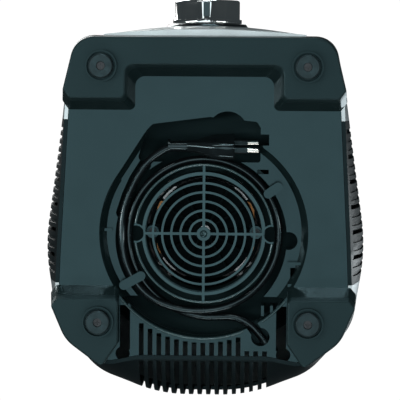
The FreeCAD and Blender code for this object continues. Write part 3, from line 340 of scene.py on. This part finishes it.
def soften(names, width, segments=2):
    """Welds a CAD node's loose triangles and rounds its sharp edges, as live modifiers."""
    for name in names:
        node = NODES[name]
        weld = node.modifiers.new("weld", "WELD")
        weld.merge_threshold = 0.01 * MM
        bevel = node.modifiers.new("soft_edges", "BEVEL")
        bevel.width = width
        bevel.segments = segments
        bevel.limit_method = "ANGLE"
        bevel.angle_limit = math.radians(35)
        bevel.harden_normals = True


# ---------------------------------------------------------------- stage
# The camera stands below the machine, a little to its right and front, and looks up past the feet.
CAMERA_SIDE = 0.040
CAMERA_FRONT = -0.105
CAMERA_TARGET = (-0.0033, -0.0035, 0.007)
CAMERA_ROLL = math.radians(-0.4)
SENSOR_WIDTH = 36.0
# Every light faces this place, with its top edge upwards.
LIT_PLACE = (0.0, 0.0, 0.05)
LIGHT_TOP = (0.0, 0.1, 1.0)
FLOOR_SIZE = 8.0
# Clear of the feet, so that their soles don't flicker.
FLOOR_LEVEL = -0.4 * MM


def aim(target, location, top):
    """Rotation of a camera or light that looks from a place to a target, with a given upward direction."""
    back = (Vector(location) - Vector(target)).normalized()
    right = Vector(top).cross(back).normalized()
    upward = back.cross(right)
    return Matrix((right, upward, back)).transposed().to_euler()


def soft_light(name, location, size, power, colour):
    """A rectangular light that faces the machine."""
    data = bpy.data.lights.new(name, "AREA")
    data.shape = "RECTANGLE"
    data.size, data.size_y = size
    data.energy = power
    data.color = colour
    light = bpy.data.objects.new(name, data)
    bpy.context.scene.collection.objects.link(light)
    light.location = location
    light.rotation_euler = aim(LIT_PLACE, location, LIGHT_TOP)


class MOTORBASE_OT_stage(bpy.types.Operator):
    """Makes the camera below the machine, the lights, the world and the pale floor"""
    bl_idname = "motor_base.stage"
    bl_label = "Stage and Camera"

    def execute(self, context):
        self.make_camera(context)
        self.make_world(context)
        self.make_lights()
        self.make_floor()
        return {"FINISHED"}

    def make_camera(self, context):
        sizes = size_settings()
        data = bpy.data.cameras.new("camera")
        data.sensor_width = SENSOR_WIDTH
        data.lens = data.sensor_width * sizes.distance / sizes.field
        camera = bpy.data.objects.new("camera", data)
        context.scene.collection.objects.link(camera)
        camera.location = (CAMERA_SIDE, CAMERA_FRONT, -sizes.distance)
        level = aim(CAMERA_TARGET, camera.location, (0, -1, 0)).to_matrix()
        camera.rotation_euler = (Matrix.Rotation(CAMERA_ROLL, 3, "Z") @ level).to_euler()
        context.scene.camera = camera

    def make_world(self, context):
        """White behind the object, and a weak cool light on it."""
        world = bpy.data.worlds.new("studio")
        world.use_nodes = True
        tree = world.node_tree
        tree.nodes.clear()
        seen = tree.nodes.new("ShaderNodeBackground")
        seen.inputs["Color"].default_value = (1.0, 1.0, 1.0, 1.0)
        seen.inputs["Strength"].default_value = 1.05
        ambient = tree.nodes.new("ShaderNodeBackground")
        ambient.inputs["Color"].default_value = (0.80, 0.95, 1.0, 1.0)
        ambient.inputs["Strength"].default_value = 0.05
        path = tree.nodes.new("ShaderNodeLightPath")
        mix = tree.nodes.new("ShaderNodeMixShader")
        output = tree.nodes.new("ShaderNodeOutputWorld")
        tree.links.new(path.outputs["Is Camera Ray"], mix.inputs["Fac"])
        tree.links.new(ambient.outputs["Background"], mix.inputs[1])
        tree.links.new(seen.outputs["Background"], mix.inputs[2])
        tree.links.new(mix.outputs["Shader"], output.inputs["Surface"])
        context.scene.world = world
        context.scene.view_settings.view_transform = "Standard"

    def make_lights(self):
        cool = (0.86, 0.97, 1.0)
        neutral = (1.0, 0.99, 0.97)
        soft_light("softbox_below", (-0.16, 0.02, -1.95), (1.3, 1.3), 7.8, (0.90, 0.97, 0.98))
        soft_light("front_strip_below", (-0.3, -1.30, -0.95), (1.2, 0.14), 4.0, neutral)
        soft_light("left_strip_below", (-1.30, 0.0, -0.95), (0.14, 1.2), 9.0, neutral)
        soft_light("right_strip_below", (1.30, 0.0, -0.95), (0.12, 1.2), 4.0, neutral)
        soft_light("rear_strip_below", (0.0, 1.30, -0.95), (1.2, 0.14), 6.0, neutral)
        soft_light("front_strip", (0.15, -1.5, -0.30), (0.8, 0.06), 4.0, cool)
        soft_light("key_above", (-0.9, -1.0, 1.5), (1.2, 1.2), 40.0, (1.0, 0.98, 0.96))
        soft_light("fill_above", (1.3, 0.6, 1.0), (1.0, 1.0), 16.0, (0.95, 0.98, 1.0))

    def make_floor(self):
        """A floor that shows only from above: from below the camera looks up through it."""
        bpy.ops.object.select_all(action="DESELECT")
        bpy.ops.mesh.primitive_plane_add(size=FLOOR_SIZE, location=(0, 0, FLOOR_LEVEL))
        floor = bpy.context.object
        floor.name = "floor"
        surface = Surface("floor", finish_settings().floor, 0.6)
        surface.vary_colour(surface.noise(3, 3), 0.015)
        see_through = surface.add("ShaderNodeBsdfTransparent")
        facing = surface.add("ShaderNodeNewGeometry")
        mix = surface.add("ShaderNodeMixShader")
        output = next(n for n in surface.tree.nodes if n.type == "OUTPUT_MATERIAL")
        surface.link(facing.outputs["Backfacing"], mix.inputs["Fac"])
        surface.link(surface.shader.outputs["BSDF"], mix.inputs[1])
        surface.link(see_through.outputs["BSDF"], mix.inputs[2])
        surface.link(mix.outputs["Shader"], output.inputs["Surface"])
        floor.data.materials.append(surface.material)
        floor.visible_shadow = False
        floor.visible_diffuse = False
        floor.visible_glossy = False
        floor.visible_transmission = False


# ---------------------------------------------------------------- cord
EXIT_ROUTE = [(47.0, 107.2, 29.0), (40.7, 98.8, 28.6), (32.3, 92.6, 28.8), (22.4, 89.4, 30.2),
              (11.9, 90.0, 32.0)]
PLUG_ROUTE = [(-63.8, 9.0, 31.0), (-59.5, -4.3, 31.0), (-53.8, -17.1, 30.8), (-46.6, -28.5, 30.2),
              (-38.0, -36.9, 29.0), (-27.9, -42.3, 27.4)]
# The wound stretch, in degrees about the drum.
WINDING = {"start": 92.0, "end": 540.0, "step": 20.0}
# Its radius and height, in millimetres, and how far its ring is off the drum's centre, rearward and left.
WINDING_RADIUS = 59.6
WINDING_HEIGHT = 32.4
WINDING_REARWARD = 1.6
WINDING_LEFTWARD = 0.4


def share(angle, start, length):
    """How much of a stretch of the winding lies before an angle, from 0 to 1."""
    return min(max((angle - start) / length, 0.0), 1.0)


def winding_point(angle):
    """A point of the wound cord, in millimetres, at an angle about the drum in degrees."""
    turn = math.radians(angle)
    across = math.cos(turn)
    along = math.sin(turn)
    # The cord comes in from outside, and swings out again to leave the drum.
    coming = max(0.0, 1.0 - (angle - WINDING["start"]) / 75.0)
    swinging = share(angle, 452.0, 48.0)
    leaving = share(angle, 505.0, 35.0)
    radius = WINDING_RADIUS + WINDING_REARWARD * along - WINDING_LEFTWARD * across
    radius += 5.6 * coming ** 1.4
    radius += 6.4 * swinging * swinging * (3 - 2 * swinging) - 2.2 * leaving
    # The first turn sinks into the trench, and the next climbs down over it towards the floor side.
    sunk = share(angle, 86.0, 34.0)
    crossing = share(angle, 375.0, 55.0)
    height = WINDING_HEIGHT + 3.4 * sunk - 8.6 * crossing + 4.0 * leaving
    return radius * across, MOTOR_Y + radius * along, height


def cord_points():
    """The route's points, in millimetres, from the exit to the plug."""
    count = int((WINDING["end"] - WINDING["start"]) / WINDING["step"]) + 1
    turns = [winding_point(WINDING["start"] + i * WINDING["step"]) for i in range(count)]
    return EXIT_ROUTE + turns + PLUG_ROUTE


class MOTORBASE_OT_cord(bpy.types.Operator):
    """Lays the supply cord from its exit once and a quarter round the drum to the plug"""
    bl_idname = "motor_base.cord"
    bl_label = "Supply Cord"

    def execute(self, context):
        diameter = size_settings().cord
        curve = bpy.data.curves.new("supply_cord", "CURVE")
        curve.dimensions = "3D"
        points = cord_points()
        spline = curve.splines.new("NURBS")
        spline.points.add(len(points) - 1)
        for point, place in zip(spline.points, points):
            point.co = (*(value * MM for value in place), 1.0)
        spline.order_u = 3
        spline.use_endpoint_u = True
        curve.resolution_u = 12
        curve.bevel_depth = diameter / 2
        curve.bevel_resolution = 6
        curve.use_fill_caps = True
        cord = bpy.data.objects.new("supply_cord", curve)
        context.scene.collection.objects.link(cord)
        curve.materials.append(FINISHES["cord_sheath"])
        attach(cord, "root")
        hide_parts("cord_coil", "cord_exit_lead", "cord_plug_lead")
        return {"FINISHED"}


# ---------------------------------------------------------------- CAD pieces
class MOTORBASE_OT_housing(bpy.types.Operator):
    """Finishes the silver housing and panel, the vents and the top deck"""
    bl_idname = "motor_base.housing"
    bl_label = "Housing"

    def execute(self, context):
        dress(["outer_housing", "front_panel"], "silver_shell")
        dress(["side_vent_left", "side_vent_right", "rear_vent_grille"], "ribbed_black")
        dress(["top_deck"], "black_moulding")
        dress(["deck_seal"], "seal_rubber")
        soften(["front_panel", "rear_vent_grille", "top_deck"], size_settings().edge)
        return {"FINISHED"}


class MOTORBASE_OT_bottom(bpy.types.Operator):
    """Finishes the stepped bottom, the intake grille, the feet and their screws"""
    bl_idname = "motor_base.bottom"
    bl_label = "Bottom"

    def execute(self, context):
        dress(["base_plate"], "black_moulding")
        dress(["motor_grille"], "grille_moulding")
        dress(["cooling_fan", "air_shroud"], "fan_black")
        feet = ["foot_front_left", "foot_front_right", "foot_rear_left", "foot_rear_right"]
        dress(feet, "foot_rubber")
        dress(["foot_screws", "grille_screws"], "zinc_screw")
        dress(["cord_bushing"], "black_gloss")
        soften(["base_plate"], size_settings().edge * 1.8, 3)
        soften(["motor_grille"], size_settings().edge * 1.4, 3)
        return {"FINISHED"}


# The pocket's rim, and its stretches between the pads and the cord's channel, in degrees about the motor.
RIM_RADIUS = 82.0 * MM
RIM_LEVEL = 20.0 * MM
RIM_STRETCHES = {"left": (67.5, 141.0), "right": (39.0, 56.0)}
# The drum's rim, between the screw wells at its two sides.
DRUM_RIM_RADIUS = 53.5 * MM
DRUM_RIM_LEVEL = 21.0 * MM
DRUM_RIM_STRETCHES = {"rear": (8.5, 171.5), "front": (188.5, 351.5)}


def round_bead(name, radius, level, wire, start, end):
    """A bead of round section along an arc about the motor's axis, with closed ends."""
    bpy.ops.object.select_all(action="DESELECT")
    bpy.ops.mesh.primitive_circle_add(vertices=12, radius=wire, location=(radius, 0.0, level),
                                      rotation=(math.radians(90), 0.0, 0.0))
    bead = bpy.context.object
    bead.name = name
    bead.data.name = name
    bpy.ops.object.transform_apply(location=True, rotation=True, scale=True)
    turn = bead.modifiers.new("turn", "SCREW")
    turn.axis = "Z"
    turn.angle = math.radians(end - start)
    turn.steps = turn.render_steps = round(end - start)
    bpy.ops.object.modifier_apply(modifier=turn.name)
    bead.rotation_euler.z = math.radians(start)
    bead.location.y = MOTOR_Y * MM
    bpy.ops.object.transform_apply(location=True, rotation=True, scale=True)
    bpy.ops.object.mode_set(mode="EDIT")
    bpy.ops.mesh.select_all(action="SELECT")
    bpy.ops.mesh.fill_holes(sides=0)
    bpy.ops.mesh.select_all(action="SELECT")
    bpy.ops.mesh.normals_make_consistent(inside=False)
    bpy.ops.object.mode_set(mode="OBJECT")
    bpy.ops.object.shade_smooth_by_angle(angle=math.radians(40))
    return bead


class MOTORBASE_OT_rim(bpy.types.Operator):
    """Models the polished beads along the rear rim of the cord pocket and round the drum, lighter than the
    moulding as painted highlight lines
    """
    bl_idname = "motor_base.rim"
    bl_label = "Polished Rims"

    def execute(self, context):
        wire = size_settings().rim
        for place, radius, level, stretches in (
                ("pocket_rim_", RIM_RADIUS, RIM_LEVEL, RIM_STRETCHES),
                ("drum_rim_", DRUM_RIM_RADIUS, DRUM_RIM_LEVEL, DRUM_RIM_STRETCHES)):
            for side, (start, end) in stretches.items():
                bead = round_bead(place + side, radius, level, wire, start, end)
                bead.data.materials.append(FINISHES["rim_gloss_painted_highlight"])
                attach(bead, "root")
        return {"FINISHED"}


class MOTORBASE_OT_knob(bpy.types.Operator):
    """Finishes the speed knob, its marker, collar, spindle and switch"""
    bl_idname = "motor_base.knob"
    bl_label = "Speed Knob"

    def execute(self, context):
        dress(["speed_knob"], "chrome")
        dress(["knob_marker", "knob_collar"], "black_gloss")
        dress(["knob_spindle"], "bearing_steel")
        dress(["speed_switch"], "inner_nylon")
        soften(["knob_collar", "speed_knob"], size_settings().edge)
        return {"FINISHED"}


class MOTORBASE_OT_plug(bpy.types.Operator):
    """Finishes the plug, its boot, sleeves and pins"""
    bl_idname = "motor_base.plug"
    bl_label = "Plug"

    def execute(self, context):
        dress(["plug_body", "plug_boot"], "black_gloss")
        dress(["pin_sleeves"], "pin_sleeve")
        dress(["plug_pins"], "pin_metal")
        soften(["plug_body"], 1.2 * MM, 4)
        return {"FINISHED"}


class MOTORBASE_OT_motor(bpy.types.Operator):
    """Finishes the motor, its rotor and the electrics inside the housing"""
    bl_idname = "motor_base.motor"
    bl_label = "Motor and Electrics"

    def execute(self, context):
        record_slots = {entry["node"]: entry["material_slot"] for entry in frame["record"]["subparts"]}
        dressed = {name for name, node in NODES.items()
                   if any(m and m.name in FINISHES for m in node.data.materials)}
        for name in sorted(set(NODES) - dressed):
            dress([name], record_slots[name])
        return {"FINISHED"}


# ---------------------------------------------------------------- panel and registration
class MOTORBASE_PT_panel(bpy.types.Panel):
    """Lists the steps that dress the motor base"""
    bl_idname = "MOTORBASE_PT_panel"
    bl_label = "Motor Base"
    bl_space_type = "VIEW_3D"
    bl_region_type = "UI"
    bl_category = "Motor Base"

    def draw(self, context):
        layout = self.layout
        for settings in (context.scene.motor_base_sizes, context.scene.motor_base_finish):
            box = layout.box()
            for name in settings.__annotations__:
                box.prop(settings, name)
        for step in STEPS:
            layout.operator(step.bl_idname)


STEPS = (
    MOTORBASE_OT_stage,
    MOTORBASE_OT_cord,
    MOTORBASE_OT_housing,
    MOTORBASE_OT_bottom,
    MOTORBASE_OT_rim,
    MOTORBASE_OT_knob,
    MOTORBASE_OT_plug,
    MOTORBASE_OT_motor,
)
CLASSES = (MotorBaseFinish, MotorBaseSizes, *STEPS, MOTORBASE_PT_panel)


def register():
    for cls in CLASSES:
        bpy.utils.register_class(cls)
    bpy.types.Scene.motor_base_finish = bpy.props.PointerProperty(type=MotorBaseFinish)
    bpy.types.Scene.motor_base_sizes = bpy.props.PointerProperty(type=MotorBaseSizes)


def unregister():
    del bpy.types.Scene.motor_base_sizes
    del bpy.types.Scene.motor_base_finish
    for cls in reversed(CLASSES):
        bpy.utils.unregister_class(cls)


def main():
    register()
    FINISHES.update(make_finishes())
    for step in STEPS:
        group, name = step.bl_idname.split(".")
        getattr(getattr(bpy.ops, group), name)()


if __name__ == "__main__":
    main()
